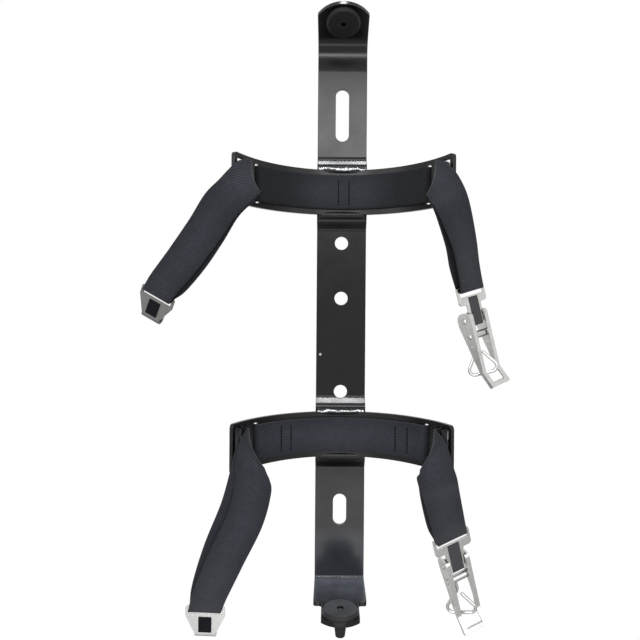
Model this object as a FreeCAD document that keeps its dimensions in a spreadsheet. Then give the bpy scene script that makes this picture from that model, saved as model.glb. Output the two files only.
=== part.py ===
"""Vehicle bracket for a fire extinguisher: a bent steel strap with two welded cradles, two rubber
bumpers and two webbing slings, each with a hook plate and an over-centre latch.

The frame is the wall's: +X to the right, +Z up, the wall at Y = 0 and the extinguisher on the -Y side.
The origin lies on the wall, halfway between the two outer round fixing holes. A depth is a distance
from the wall towards the extinguisher, so it is a negative Y.
"""
import FreeCAD, Part
import math
import os
import re

import Sketcher
from FreeCAD import Placement, Rotation, Vector

# Driving dimensions in millimetres and degrees.
SIZES = [
    # bent strap
    ("strap_width", 38.1),
    ("plate", 3.2),
    ("edge_round", 0.5),
    ("trim", 1.0),
    # fixing holes and slots
    ("hole_bore", 10.3),
    ("hole_pitch", 115.4),
    ("middle_hole_height", 14.8),
    ("slot_width", 10.3),
    ("upper_slot_length", 41.0),
    ("upper_slot_height", 157.2),
    ("lower_slot_length", 24.5),
    ("lower_slot_drop", 149.4),
    # saddles under the cradles
    ("upper_cradle_height", 95.2),
    ("lower_cradle_drop", 88.6),
    ("saddle_rise", 6.0),
    ("saddle_half", 19.7),
    ("saddle_slope", 45.0),
    ("saddle_bend", 3.0),
    # leaning tab at the top
    ("tab_corner", 213.6),
    ("tab_lean", 66.0),
    ("tab_bend", 13.0),
    ("tab_reach", 20.6),
    ("tab_side", 4.7),
    ("tab_end_radius", 23.6),
    # foot shelf at the bottom
    ("foot_drop", 201.8),
    ("foot_reach", 65.4),
    ("foot_bend", 1.8),
    ("foot_shoulder", 39.0),
    ("foot_neck", 26.4),
    ("foot_end_radius", 18.0),
    ("foot_corner", 2.0),
    ("foot_bumper_depth", 53.5),
    # rubber bumpers
    ("bumper_head", 25.4),
    ("bumper_height", 3.6),
    ("bumper_face", 22.6),
    ("bumper_dimple", 4.6),
    ("bumper_dimple_depth", 1.1),
    ("bumper_neck", 8.8),
    ("bumper_barb", 10.4),
    ("bumper_tip", 6.6),
    ("bumper_tail", 15.2),
    ("push_fit", 0.05),
    # cradles
    ("cradle_radius", 79.0),
    ("cradle_plate", 2.5),
    ("cradle_height", 34.0),
    ("cradle_half_angle", 68.0),
    ("cradle_corner", 3.0),
    ("sling_slot_height", 28.0),
    ("inner_slot_angle", 50.0),
    ("inner_slot_span", 4.0),
    ("window_angle", 61.1),
    ("window_span", 8.8),
    ("window_corner", 2.0),
    ("weld_radius", 2.7),
    ("weld_length", 35.0),
    # webbing
    ("webbing_width", 25.4),
    ("sling_thickness", 2.4),
    ("sling_gap", 0.2),
    ("eye_radius", 2.1),
    ("eye_wall", 1.3),
    # hook plate
    ("bar_width", 3.2),
    ("latch_sheet", 1.6),
    ("arm_inner", 26.2),
    ("arm_outer", 30.2),
    ("hook_slot_end", 4.6),
    ("hook_shoulder", 6.0),
    ("hook_neck", 19.5),
    ("hook_tip_width", 16.0),
    ("lip_gap", 3.2),
    ("lip_return", 5.0),
    ("hook_pad_width", 10.0),
    ("hook_pad_top", 6.6),
    ("hook_pad_length", 11.6),
    ("pad_thickness", 0.5),
    # latch plate
    ("latch_slot_end", 5.8),
    ("head_end", 12.0),
    ("head_corner", 2.5),
    ("stem_width", 15.0),
    ("stem_end", 23.0),
    ("pivot_drop", 24.0),
    ("pivot_back", 4.2),
    ("ear_sheet", 1.6),
    ("ear_round", 3.0),
    ("latch_pad_width", 9.4),
    ("latch_pad_top", 6.8),
    ("latch_pad_end", 22.6),
    # lever
    ("lever_width", 20.0),
    ("lever_sheet", 1.5),
    ("lever_front", 7.0),
    ("lever_back", 6.0),
    ("lever_ear", 5.5),
    ("lever_bend_drop", 39.0),
    ("lever_tip_length", 13.0),
    ("lever_kick", 29.0),
    ("lever_tail_height", 3.2),
    ("lever_window", 13.0),
    ("lever_end_bar", 2.8),
    # pins, barrel and bail
    ("lever_pin", 3.2),
    ("bail_pin", 2.6),
    ("rivet_head", 1.4),
    ("rivet_rise", 0.9),
    ("running_fit", 0.05),
    ("tooling_hole", 1.7),
    ("tooling_hole_drop", 19.5),
    ("bail_pin_drop", 12.0),
    ("bail_pin_front", 2.0),
    ("barrel", 5.6),
    ("barrel_length", 16.4),
    ("shank_seat", 1.2),
    ("shank_offset", 3.2),
    ("bail_wire", 2.5),
    ("bail_height", 29.5),
    ("bail_half_width", 14.6),
    ("bail_corner", 4.2),
    ("bail_twist", 36.0),
    # where each bar hangs in its webbing loop, and how it is turned
    ("upper_hook_x", -138.9), ("upper_hook_depth", 13.0), ("upper_hook_z", 17.1),
    ("upper_hook_lean", 23.8), ("upper_hook_pitch", 14.7), ("upper_hook_twist", -14.1),
    ("lower_hook_x", -102.3), ("lower_hook_depth", 10.0), ("lower_hook_z", -223.1),
    ("lower_hook_lean", 0.6), ("lower_hook_pitch", 1.7), ("lower_hook_twist", -2.3),
    ("upper_latch_x", 96.1), ("upper_latch_depth", 18.0), ("upper_latch_z", 23.4),
    ("upper_latch_lean", -14.1), ("upper_latch_pitch", 2.0), ("upper_latch_twist", 34.5),
    ("lower_latch_x", 81.1), ("lower_latch_depth", 27.0), ("lower_latch_z", -159.2),
    ("lower_latch_lean", -14.4), ("lower_latch_pitch", 10.3), ("lower_latch_twist", 17.1),
]

# Middle line of each hanging loop from its window to its bar, as
# (x, depth, z, slope of the width, twist of the width, thickness over both layers).
LOOPS = {
    "upper_hook": [
        (-63.0, 57.5, 94.7, 80, 0, 2.6),
        (-63.5, 64.0, 92.5, 64, 0, 2.8),
        (-70.5, 66.5, 86.5, 46, 0, 3.2),
        (-81.5, 60.5, 76.5, 38, 0, 3.8),
        (-96.1, 47.0, 60.7, 37, 0, 5.0),
        (-111.9, 38.0, 42.3, 36, -5, 6.0),
        (-130.3, 22.5, 25.4, 32, -10, 6.4),
    ],
    "lower_hook": [
        (-63.0, 57.5, -89.0, 76, 0, 2.6),
        (-61.0, 64.0, -91.5, 50, 0, 2.8),
        (-59.5, 66.0, -100.0, 27, 0, 3.2),
        (-60.0, 60.5, -112.5, 20, 0, 4.0),
        (-67.0, 52.0, -137.1, 24, 0, 6.0),
        (-81.8, 42.0, -169.3, 24, 0, 7.0),
        (-96.0, 23.0, -203.6, 12, -1, 6.6),
    ],
    "upper_latch": [
        (63.0, 57.5, 94.7, -80, 0, 2.6),
        (62.5, 64.0, 92.0, -56, 0, 2.8),
        (65.5, 66.0, 85.5, -32, 6, 3.2),
        (72.0, 66.0, 74.5, -22, 12, 4.0),
        (82.2, 52.0, 53.5, -17, 24, 6.0),
        (89.6, 37.0, 38.0, -17, 31, 7.6),
    ],
    "lower_latch": [
        (63.0, 57.5, -89.0, -76, 0, 2.6),
        (61.5, 64.0, -91.5, -48, 0, 2.8),
        (61.8, 66.0, -99.5, -22, 2, 3.2),
        (65.0, 64.5, -108.5, -15, 3, 4.0),
        (69.1, 52.0, -123.0, -16, 6, 5.0),
        (76.0, 38.5, -146.0, -18, 14, 6.4),
    ],
}

document = FreeCAD.newDocument("extinguisher_bracket")
sheet = document.addObject("Spreadsheet::Sheet", "Sizes")
for row, (alias, value) in enumerate(SIZES, start=1):
    sheet.set("A%d" % row, alias)
    sheet.set("B%d" % row, str(value))
    sheet.setAlias("B%d" % row, alias)
document.recompute()

ALIAS = re.compile(r"\b(" + "|".join(alias for alias, _ in SIZES) + r")\b")
PARTS = []


def size(alias):
    """The value of one driving dimension."""
    return float(sheet.get(alias))


def bound(text):
    """An expression in which each alias is read from the sheet."""
    return ALIAS.sub(r"Sizes.\1", text)


def value_of(thing, text):
    """What an expression comes to, as a plain number."""
    found = thing.evalExpression(bound(text))
    return float(getattr(found, "Value", found))


def degrees(text):
    """An angle expression in degrees."""
    return "(%s) * 1 deg" % text


def keep(thing, label):
    """Name a finished sub-part, so that it is written to its own file."""
    thing.Label = label
    PARTS.append(thing)
    return thing


def new_body(label):
    return keep(document.addObject("PartDesign::Body", label), label)


def origin_plane(body, role):
    return next(feature for feature in body.Origin.OriginFeatures if feature.Role == role)


def new_sketch(body, name, role):
    """An empty sketch on one of the body's own origin planes."""
    sketch = body.newObject("Sketcher::SketchObject", name)
    sketch.AttachmentSupport = (origin_plane(body, role), [""])
    sketch.MapMode = "FlatFace"
    return sketch


def bind(sketch, kind, where, text):
    """Add one dimension to a sketch and bind it to an expression."""
    index = sketch.addConstraint(Sketcher.Constraint(kind, *where, value_of(sketch, text)))
    sketch.setExpression("Constraints[%d]" % index, bound(text))


def pin_down(sketch, geometry, corner, across, up):
    """Place one point of a sketch's geometry from the sketch's origin."""
    bind(sketch, "DistanceX", (-1, 1, geometry, corner), across)
    bind(sketch, "DistanceY", (-1, 1, geometry, corner), up)


def draw_polygon(sketch, corners):
    """A closed outline of straight lines, with every corner bound."""
    points = [Vector(value_of(sketch, across), value_of(sketch, up), 0) for across, up in corners]
    first = sketch.GeometryCount
    count = len(points)
    for index, point in enumerate(points):
        sketch.addGeometry(Part.LineSegment(point, points[(index + 1) % count]), False)
    for index in range(count):
        following = first + (index + 1) % count
        sketch.addConstraint(Sketcher.Constraint("Coincident", first + index, 2, following, 1))
    for index, (across, up) in enumerate(corners):
        pin_down(sketch, first + index, 1, across, up)


def draw_circle(sketch, across, up, diameter):
    centre = Vector(value_of(sketch, across), value_of(sketch, up), 0)
    circle = Part.Circle(centre, Vector(0, 0, 1), value_of(sketch, diameter) / 2)
    index = sketch.addGeometry(circle, False)
    bind(sketch, "Diameter", (index,), diameter)
    pin_down(sketch, index, 3, across, up)


def draw_upright_slot(sketch, height, length, width):
    """A round-ended slot on the sketch's vertical axis."""
    radius = value_of(sketch, width) / 2
    middle = value_of(sketch, height)
    half = value_of(sketch, length) / 2 - radius
    top = Part.ArcOfCircle(Part.Circle(Vector(0, middle + half, 0), Vector(0, 0, 1), radius), 0, math.pi)
    low = Part.ArcOfCircle(Part.Circle(Vector(0, middle - half, 0), Vector(0, 0, 1), radius), math.pi, 0)
    left = Part.LineSegment(Vector(-radius, middle + half, 0), Vector(-radius, middle - half, 0))
    right = Part.LineSegment(Vector(radius, middle - half, 0), Vector(radius, middle + half, 0))
    arc_top = sketch.addGeometry(top, False)
    side_left = sketch.addGeometry(left, False)
    arc_low = sketch.addGeometry(low, False)
    side_right = sketch.addGeometry(right, False)
    sketch.addConstraint(Sketcher.Constraint("Tangent", arc_top, 2, side_left, 1))
    sketch.addConstraint(Sketcher.Constraint("Tangent", side_left, 2, arc_low, 1))
    sketch.addConstraint(Sketcher.Constraint("Tangent", arc_low, 2, side_right, 1))
    sketch.addConstraint(Sketcher.Constraint("Tangent", side_right, 2, arc_top, 1))
    bind(sketch, "Radius", (arc_top,), "%s / 2" % width)
    pin_down(sketch, arc_top, 3, "0", "%s + (%s - %s) / 2" % (height, length, width))
    pin_down(sketch, arc_low, 3, "0", "%s - (%s - %s) / 2" % (height, length, width))


def draw_end_trim(sketch, crown, radius, half_width, reach):
    """The waste outside a round end whose crown points down the sketch's vertical axis."""
    low, arc_radius = value_of(sketch, crown), value_of(sketch, radius)
    half, far = value_of(sketch, half_width), value_of(sketch, reach)
    centre = Vector(0, low + arc_radius, 0)
    swing = math.asin(half / arc_radius)
    circle = Part.Circle(centre, Vector(0, 0, 1), arc_radius)
    arc = sketch.addGeometry(Part.ArcOfCircle(circle, 1.5 * math.pi - swing, 1.5 * math.pi + swing), False)
    edge = centre.y - arc_radius * math.cos(swing)
    corners = [Vector(half, edge, 0), Vector(half, far, 0), Vector(-half, far, 0), Vector(-half, edge, 0)]
    sides = [sketch.addGeometry(Part.LineSegment(a, b), False) for a, b in zip(corners, corners[1:])]
    sketch.addConstraint(Sketcher.Constraint("Coincident", arc, 2, sides[0], 1))
    sketch.addConstraint(Sketcher.Constraint("Coincident", sides[0], 2, sides[1], 1))
    sketch.addConstraint(Sketcher.Constraint("Coincident", sides[1], 2, sides[2], 1))
    sketch.addConstraint(Sketcher.Constraint("Coincident", sides[2], 2, arc, 1))
    bind(sketch, "Radius", (arc,), radius)
    pin_down(sketch, arc, 3, "0", "%s + %s" % (crown, radius))
    bind(sketch, "DistanceX", (-1, 1, arc, 1), "-(%s)" % half_width)
    bind(sketch, "DistanceX", (-1, 1, arc, 2), half_width)
    pin_down(sketch, sides[1], 1, half_width, reach)
    pin_down(sketch, sides[1], 2, "-(%s)" % half_width, reach)


def extrude(body, kind, name, sketch, length=None, midplane=True, backwards=False):
    """A pad or a pocket of a sketch; without a length a pocket goes through everything."""
    feature = body.newObject("PartDesign::" + kind, name)
    feature.Profile = (sketch, [""])
    feature.Midplane = midplane
    feature.Reversed = backwards
    if length is None:
        feature.Type = "ThroughAll"
    else:
        feature.setExpression("Length", bound(length))
    document.recompute()
    return feature


def turn(body, kind, name, sketch, axis, angle):
    """A revolution or a groove of a sketch about one of its axes, half the angle to each side."""
    feature = body.newObject("PartDesign::" + kind, name)
    feature.Profile = (sketch, [""])
    feature.ReferenceAxis = (sketch, [axis])
    feature.Midplane = True
    feature.setExpression("Angle", bound(angle))
    document.recompute()
    return feature


def round_edges(body, name, chosen, radius):
    """Fillet the edges of the body's last feature that the function chosen picks."""
    base = body.Tip
    edges = ["Edge%d" % (n + 1) for n, edge in enumerate(base.Shape.Edges) if chosen(edge)]
    fillet = body.newObject("PartDesign::Fillet", name)
    fillet.Base = (base, edges)
    fillet.setExpression("Radius", bound(radius))
    document.recompute()
    return fillet


def runs_along(edge, direction):
    """Whether an edge is a straight line along a direction."""
    if edge.Curve.TypeId != "Part::GeomLine":
        return False
    return abs(abs(edge.Curve.Direction.dot(direction)) - 1) < 1e-6


def crosswise_at(body, places):
    """Picks the edges along X that pass through one of the given (y, z) places."""
    spots = [(value_of(body, across), value_of(body, up)) for across, up in places]

    def chosen(edge):
        if not runs_along(edge, Vector(1, 0, 0)):
            return False
        middle = edge.CenterOfMass
        return any(math.hypot(middle.y - y, middle.z - z) < 0.01 for y, z in spots)

    return chosen


def make_backbone():
    """The strap that everything is fixed to, bent from one flat bar."""
    body = new_body("backbone")
    saddles = ("-lower_cradle_drop", "upper_cradle_height")
    run = "saddle_rise / tan(saddle_slope * 1 deg)"
    shift = "plate * tan(saddle_slope * 1 deg / 2)"
    lean_shift = "plate * tan(tab_lean * 1 deg / 2)"
    crown = "(tab_side + tab_end_radius - sqrt(tab_end_radius ^ 2 - strap_width ^ 2 / 4))"
    face = "(tab_reach + %s + trim)" % crown
    lean_sine, lean_cosine = "sin(tab_lean * 1 deg)", "cos(tab_lean * 1 deg)"
    back_low = [("0", "%s - saddle_half - %s" % (saddle, run)) for saddle in saddles]
    back_rise = [("-saddle_rise", "%s - saddle_half" % saddle) for saddle in saddles]
    back_fall = [("-saddle_rise", "%s + saddle_half" % saddle) for saddle in saddles]
    back_high = [("0", "%s + saddle_half + %s" % (saddle, run)) for saddle in saddles]
    front_low = [("-plate", "%s - saddle_half - %s - %s" % (saddle, run, shift)) for saddle in saddles]
    front_rise = [("-plate - saddle_rise", "%s - saddle_half - %s" % (saddle, shift)) for saddle in saddles]
    front_fall = [("-plate - saddle_rise", "%s + saddle_half + %s" % (saddle, shift)) for saddle in saddles]
    front_high = [("-plate", "%s + saddle_half + %s + %s" % (saddle, run, shift)) for saddle in saddles]
    outline = [("-(foot_reach + trim)", "-foot_drop - plate"), ("0", "-foot_drop - plate")]
    for index in (0, 1):
        outline += [back_low[index], back_rise[index], back_fall[index], back_high[index]]
    outline += [
        ("0", "tab_corner"),
        ("-(%s + %s) * %s" % (face, lean_shift, lean_sine),
         "tab_corner + (%s + %s) * %s" % (face, lean_shift, lean_cosine)),
        ("-plate - %s * %s" % (face, lean_sine), "tab_corner - %s + %s * %s" % (lean_shift, face, lean_cosine)),
        ("-plate", "tab_corner - %s" % lean_shift),
    ]
    for index in (1, 0):
        outline += [front_high[index], front_fall[index], front_rise[index], front_low[index]]
    outline += [("-plate", "-foot_drop"), ("-(foot_reach + trim)", "-foot_drop")]
    profile = new_sketch(body, "strap_profile", "YZ_Plane")
    draw_polygon(profile, outline)
    extrude(body, "Pad", "strap", profile, "strap_width")

    inside = back_rise + back_fall + front_low + front_high
    outside = back_low + back_high + front_rise + front_fall
    round_edges(body, "saddle_inner_bends", crosswise_at(body, inside), "saddle_bend")
    round_edges(body, "saddle_outer_bends", crosswise_at(body, outside), "saddle_bend + plate")
    round_edges(body, "tab_inner_bend", crosswise_at(body, [("-plate", "tab_corner - %s" % lean_shift)]), "tab_bend")
    round_edges(body, "tab_outer_bend", crosswise_at(body, [("0", "tab_corner")]), "tab_bend + plate")
    round_edges(body, "foot_inner_bend", crosswise_at(body, [("-plate", "-foot_drop")]), "foot_bend")
    round_edges(body, "foot_outer_bend", crosswise_at(body, [("0", "-foot_drop - plate")]), "foot_bend + plate")

    fixings = new_sketch(body, "fixing_holes", "XZ_Plane")
    for height in ("hole_pitch / 2", "middle_hole_height", "-hole_pitch / 2"):
        draw_circle(fixings, "0", height, "hole_bore")
    draw_upright_slot(fixings, "upper_slot_height", "upper_slot_length", "slot_width")
    draw_upright_slot(fixings, "-lower_slot_drop", "lower_slot_length", "slot_width")
    extrude(body, "Pocket", "fixing_cuts", fixings, "6 * plate")

    tab = new_sketch(body, "tab_end", "XY_Plane")
    tab.AttachmentOffset = Placement(Vector(0, 0, 0), Rotation(Vector(1, 0, 0), -24))
    tab.setExpression("AttachmentOffset.Base.y", bound("-plate - tab_reach * %s" % lean_sine))
    tab.setExpression("AttachmentOffset.Base.z", bound("tab_corner - %s + tab_reach * %s" % (lean_shift, lean_cosine)))
    tab.setExpression("AttachmentOffset.Rotation.Angle", bound(degrees("tab_lean - 90")))
    draw_end_trim(tab, "-%s" % crown, "tab_end_radius", "strap_width / 2 + trim", "-%s - 3 * trim" % crown)
    draw_circle(tab, "0", "0", "bumper_neck + 2 * push_fit")
    extrude(body, "Pocket", "tab_cuts", tab, "4 * plate")

    foot = new_sketch(body, "foot_end", "XY_Plane")
    foot.setExpression("AttachmentOffset.Base.z", bound("-foot_drop"))
    draw_end_trim(foot, "-foot_reach", "foot_end_radius", "foot_neck / 2 + trim", "-foot_reach - 3 * trim")
    draw_circle(foot, "0", "-foot_bumper_depth", "bumper_neck + 2 * push_fit")
    extrude(body, "Pocket", "foot_cuts", foot, "4 * plate")
    shoulders = new_sketch(body, "foot_shoulders", "XY_Plane")
    shoulders.setExpression("AttachmentOffset.Base.z", bound("-foot_drop"))
    for side in ("", "-"):
        draw_polygon(shoulders, [
            (side + "foot_neck / 2", "-foot_shoulder"),
            (side + "(strap_width / 2 + trim)", "-foot_shoulder"),
            (side + "(strap_width / 2 + trim)", "-foot_reach - 3 * trim"),
            (side + "foot_neck / 2", "-foot_reach - 3 * trim"),
        ])
    extrude(body, "Pocket", "shoulder_cuts", shoulders, "4 * plate")
    upright = Vector(0, 0, 1)
    round_edges(body, "shoulder_corners", lambda edge: (
        runs_along(edge, upright) and abs(edge.CenterOfMass.y + size("foot_shoulder")) < 0.01
        and edge.CenterOfMass.z < -size("foot_drop")), "foot_corner")
    return body


def make_bumper(label):
    """A push-in rubber bumper: flat head with a dimple, neck, barb and tapered tail."""
    body = new_body(label)
    profile = new_sketch(body, label + "_profile", "XZ_Plane")
    draw_polygon(profile, [
        ("0", "bumper_height - bumper_dimple_depth"),
        ("bumper_dimple / 4", "bumper_height - bumper_dimple_depth"),
        ("bumper_dimple / 2", "bumper_height"),
        ("bumper_face / 2", "bumper_height"),
        ("bumper_head / 2", "bumper_height / 2"),
        ("bumper_head / 2", "bumper_height / 6"),
        ("bumper_head / 2 - bumper_height / 6", "0"),
        ("bumper_neck / 2", "0"),
        ("bumper_neck / 2", "-plate"),
        ("bumper_barb / 2", "-plate"),
        ("bumper_barb / 2", "-plate - bumper_height / 3"),
        ("bumper_neck / 2", "-plate - bumper_height"),
        ("bumper_tip / 2", "-bumper_tail"),
        ("0", "-bumper_tail"),
    ])
    turn(body, "Revolution", label + "_turned", profile, "V_Axis", "360")
    return body


def place_bumpers(top, bottom):
    """Seat the top bumper under the leaning tab and the bottom one on the foot shelf."""
    lean_shift = "plate * tan(tab_lean * 1 deg / 2)"
    top.Placement = Placement(Vector(0, 0, 0), Rotation(Vector(1, 0, 0), 156))
    top.setExpression("Placement.Base.y", bound("-plate - tab_reach * sin(tab_lean * 1 deg)"))
    top.setExpression("Placement.Base.z", bound(
        "tab_corner - %s + tab_reach * cos(tab_lean * 1 deg)" % lean_shift))
    top.setExpression("Placement.Rotation.Angle", bound(degrees("90 + tab_lean")))
    bottom.setExpression("Placement.Base.y", bound("-foot_bumper_depth"))
    bottom.setExpression("Placement.Base.z", bound("-foot_drop"))


def make_cradle(label, height):
    """A curved steel band with a webbing slot and a wide window near each end."""
    body = new_body(label)
    section = new_sketch(body, label + "_section", "YZ_Plane")
    draw_polygon(section, [
        ("cradle_radius", "-cradle_height / 2"),
        ("cradle_radius + cradle_plate", "-cradle_height / 2"),
        ("cradle_radius + cradle_plate", "cradle_height / 2"),
        ("cradle_radius", "cradle_height / 2"),
    ])
    turn(body, "Revolution", label + "_band", section, "V_Axis", "2 * cradle_half_angle")
    cuts = []
    for name, angle, span in (("slot", "inner_slot_angle", "inner_slot_span"), ("window", "window_angle", "window_span")):
        opening = new_sketch(body, "%s_%s" % (label, name), "YZ_Plane")
        opening.AttachmentOffset = Placement(Vector(0, 0, 0), Rotation(Vector(0, 1, 0), 50))
        opening.setExpression("AttachmentOffset.Rotation.Angle", bound(degrees(angle)))
        draw_polygon(opening, [
            ("cradle_radius - trim", "-sling_slot_height / 2"),
            ("cradle_radius + cradle_plate + trim", "-sling_slot_height / 2"),
            ("cradle_radius + cradle_plate + trim", "sling_slot_height / 2"),
            ("cradle_radius - trim", "sling_slot_height / 2"),
        ])
        cuts.append(turn(body, "Groove", "%s_%s_cut" % (label, name), opening, "V_Axis", span))
    mirrored = body.newObject("PartDesign::Mirrored", label + "_mirrored_cuts")
    mirrored.Originals = cuts
    mirrored.MirrorPlane = (origin_plane(body, "YZ_Plane"), [""])
    body.Tip = mirrored
    document.recompute()

    def radial(edge):
        middle = edge.CenterOfMass
        outward = Vector(middle.x, middle.y, 0).normalize()
        return runs_along(edge, outward)

    def at_end(edge):
        return radial(edge) and abs(abs(edge.CenterOfMass.z) - size("cradle_height") / 2) < 0.01

    def at_opening(edge):
        return radial(edge) and abs(abs(edge.CenterOfMass.z) - size("sling_slot_height") / 2) < 0.01

    round_edges(body, label + "_opening_corners", at_opening, "window_corner")
    round_edges(body, label + "_end_corners", at_end, "cradle_corner")
    body.setExpression("Placement.Base.y", bound("-saddle_rise - plate - cradle_radius - cradle_plate"))
    body.setExpression("Placement.Base.z", bound(height))
    return body


def make_welds(label, backbone, cradle, height):
    """Two weld beads where a cradle's long edges cross the strap's saddle."""
    steel = document.addObject("Part::Compound", label + "_steel")
    steel.Links = [backbone, cradle]
    beads = []
    for name, sign in (("top", ""), ("bottom", "-")):
        rod = document.addObject("Part::Cylinder", "%s_%s_rod" % (label, name))
        rod.setExpression("Radius", bound("weld_radius"))
        rod.setExpression("Height", bound("weld_length"))
        rod.Placement = Placement(Vector(0, 0, 0), Rotation(Vector(0, 1, 0), 90))
        rod.setExpression("Placement.Base.x", bound("-weld_length / 2"))
        rod.setExpression("Placement.Base.y", bound("-saddle_rise - plate - cradle_plate / 2"))
        rod.setExpression("Placement.Base.z", bound("%s + %s(cradle_height / 2)" % (height, sign)))
        bead = document.addObject("Part::Cut", "%s_%s_bead" % (label, name))
        bead.Base = rod
        bead.Tool = steel
        beads.append(bead)
    welds = document.addObject("Part::Compound", label)
    welds.Links = beads
    return keep(welds, label)


def hanging_frame(prefix):
    """Placement of a bar in its loop: local X along the bar, -Z down the plate, -Y towards the front."""
    place = Vector(size(prefix + "_x"), -size(prefix + "_depth"), size(prefix + "_z"))
    lean = Rotation(Vector(0, 1, 0), size(prefix + "_lean"))
    pitch = Rotation(Vector(1, 0, 0), size(prefix + "_pitch"))
    twist = Rotation(Vector(0, 0, 1), size(prefix + "_twist"))
    return Placement(place, lean * pitch * twist)


def hang(body, prefix, x="0", y="0", z="0", spin="0"):
    """Bind a body's placement to its bar's, moved and spun in the bar's own frame."""
    about = "create(<<rotation>>; create(<<vector>>; %d; %d; %d); %s)"
    where = "create(<<vector>>; %s; %s; %s)"
    placing = "create(<<placement>>; %s; %s)"
    turned = " * ".join((
        about % (0, 1, 0, degrees(prefix + "_lean")),
        about % (1, 0, 0, degrees(prefix + "_pitch")),
        about % (0, 0, 1, degrees(prefix + "_twist")),
    ))
    bar = placing % (where % (prefix + "_x", "-" + prefix + "_depth", prefix + "_z"), turned)
    local = placing % (where % (x, y, z), about % (0, 0, 1, degrees(spin)))
    body.setExpression("Placement", bound(bar + " * " + local))


def make_hook_plate(label, prefix):
    """The plate in a left-hand loop: a bar, a webbing slot, a tapered plate and a curled lip."""
    body = new_body(label)
    outline = new_sketch(body, label + "_outline", "XZ_Plane")
    draw_polygon(outline, [
        ("-arm_outer / 2", "bar_width / 2"),
        ("arm_outer / 2", "bar_width / 2"),
        ("arm_outer / 2", "-hook_shoulder"),
        ("hook_tip_width / 2", "-hook_neck"),
        ("-hook_tip_width / 2", "-hook_neck"),
        ("-arm_outer / 2", "-hook_shoulder"),
    ])
    extrude(body, "Pad", label + "_blank", outline, "latch_sheet")
    slot = new_sketch(body, label + "_slot", "XZ_Plane")
    draw_polygon(slot, [
        ("-arm_inner / 2", "-bar_width / 2"),
        ("arm_inner / 2", "-bar_width / 2"),
        ("arm_inner / 2", "-hook_slot_end"),
        ("-arm_inner / 2", "-hook_slot_end"),
    ])
    extrude(body, "Pocket", label + "_slot_cut", slot)
    upright = Vector(0, 1, 0)
    round_edges(body, label + "_corners", lambda edge: (
        runs_along(edge, upright) and edge.CenterOfMass.z > -size("hook_neck") + 1
        and abs(edge.CenterOfMass.x) > size("arm_inner") / 2 + 0.1), "ear_sheet")

    lip = new_sketch(body, label + "_lip", "YZ_Plane")
    outer = "(lip_gap / 2 + latch_sheet)"
    draw_polygon(lip, [
        ("-latch_sheet / 2", "-hook_neck"),
        ("latch_sheet / 2", "-hook_neck"),
        ("latch_sheet / 2", "-hook_neck - lip_gap / 2"),
        ("latch_sheet / 2 + lip_gap", "-hook_neck - lip_gap / 2"),
        ("latch_sheet / 2 + lip_gap", "-hook_neck - lip_gap / 2 + lip_return"),
        ("latch_sheet * 3 / 2 + lip_gap", "-hook_neck - lip_gap / 2 + lip_return"),
        ("latch_sheet * 3 / 2 + lip_gap", "-hook_neck - %s" % outer),
        ("-latch_sheet / 2", "-hook_neck - %s" % outer),
    ])
    extrude(body, "Pad", label + "_lip_pad", lip, "hook_tip_width")
    bottom = "-hook_neck - %s" % outer
    inner_floor = "-hook_neck - lip_gap / 2"
    round_edges(body, label + "_lip_outer", crosswise_at(body, [
        ("-latch_sheet / 2", bottom), ("latch_sheet * 3 / 2 + lip_gap", bottom)]), "lip_gap / 2 + latch_sheet - 0.1")
    round_edges(body, label + "_lip_inner", crosswise_at(body, [
        ("latch_sheet / 2", inner_floor), ("latch_sheet / 2 + lip_gap", inner_floor)]), "lip_gap / 2 - 0.1")
    hang(body, prefix)
    return body


def make_pad(label, prefix, width, top, low):
    """A thin black pad on the face of a plate."""
    body = new_body(label)
    outline = new_sketch(body, label + "_outline", "XZ_Plane")
    draw_polygon(outline, [
        ("-%s / 2" % width, "-%s" % top),
        ("%s / 2" % width, "-%s" % top),
        ("%s / 2" % width, "-%s" % low),
        ("-%s / 2" % width, "-%s" % low),
    ])
    extrude(body, "Pad", label + "_sheet", outline, "pad_thickness")
    hang(body, prefix, y="-(latch_sheet + pad_thickness) / 2")
    return body


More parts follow.
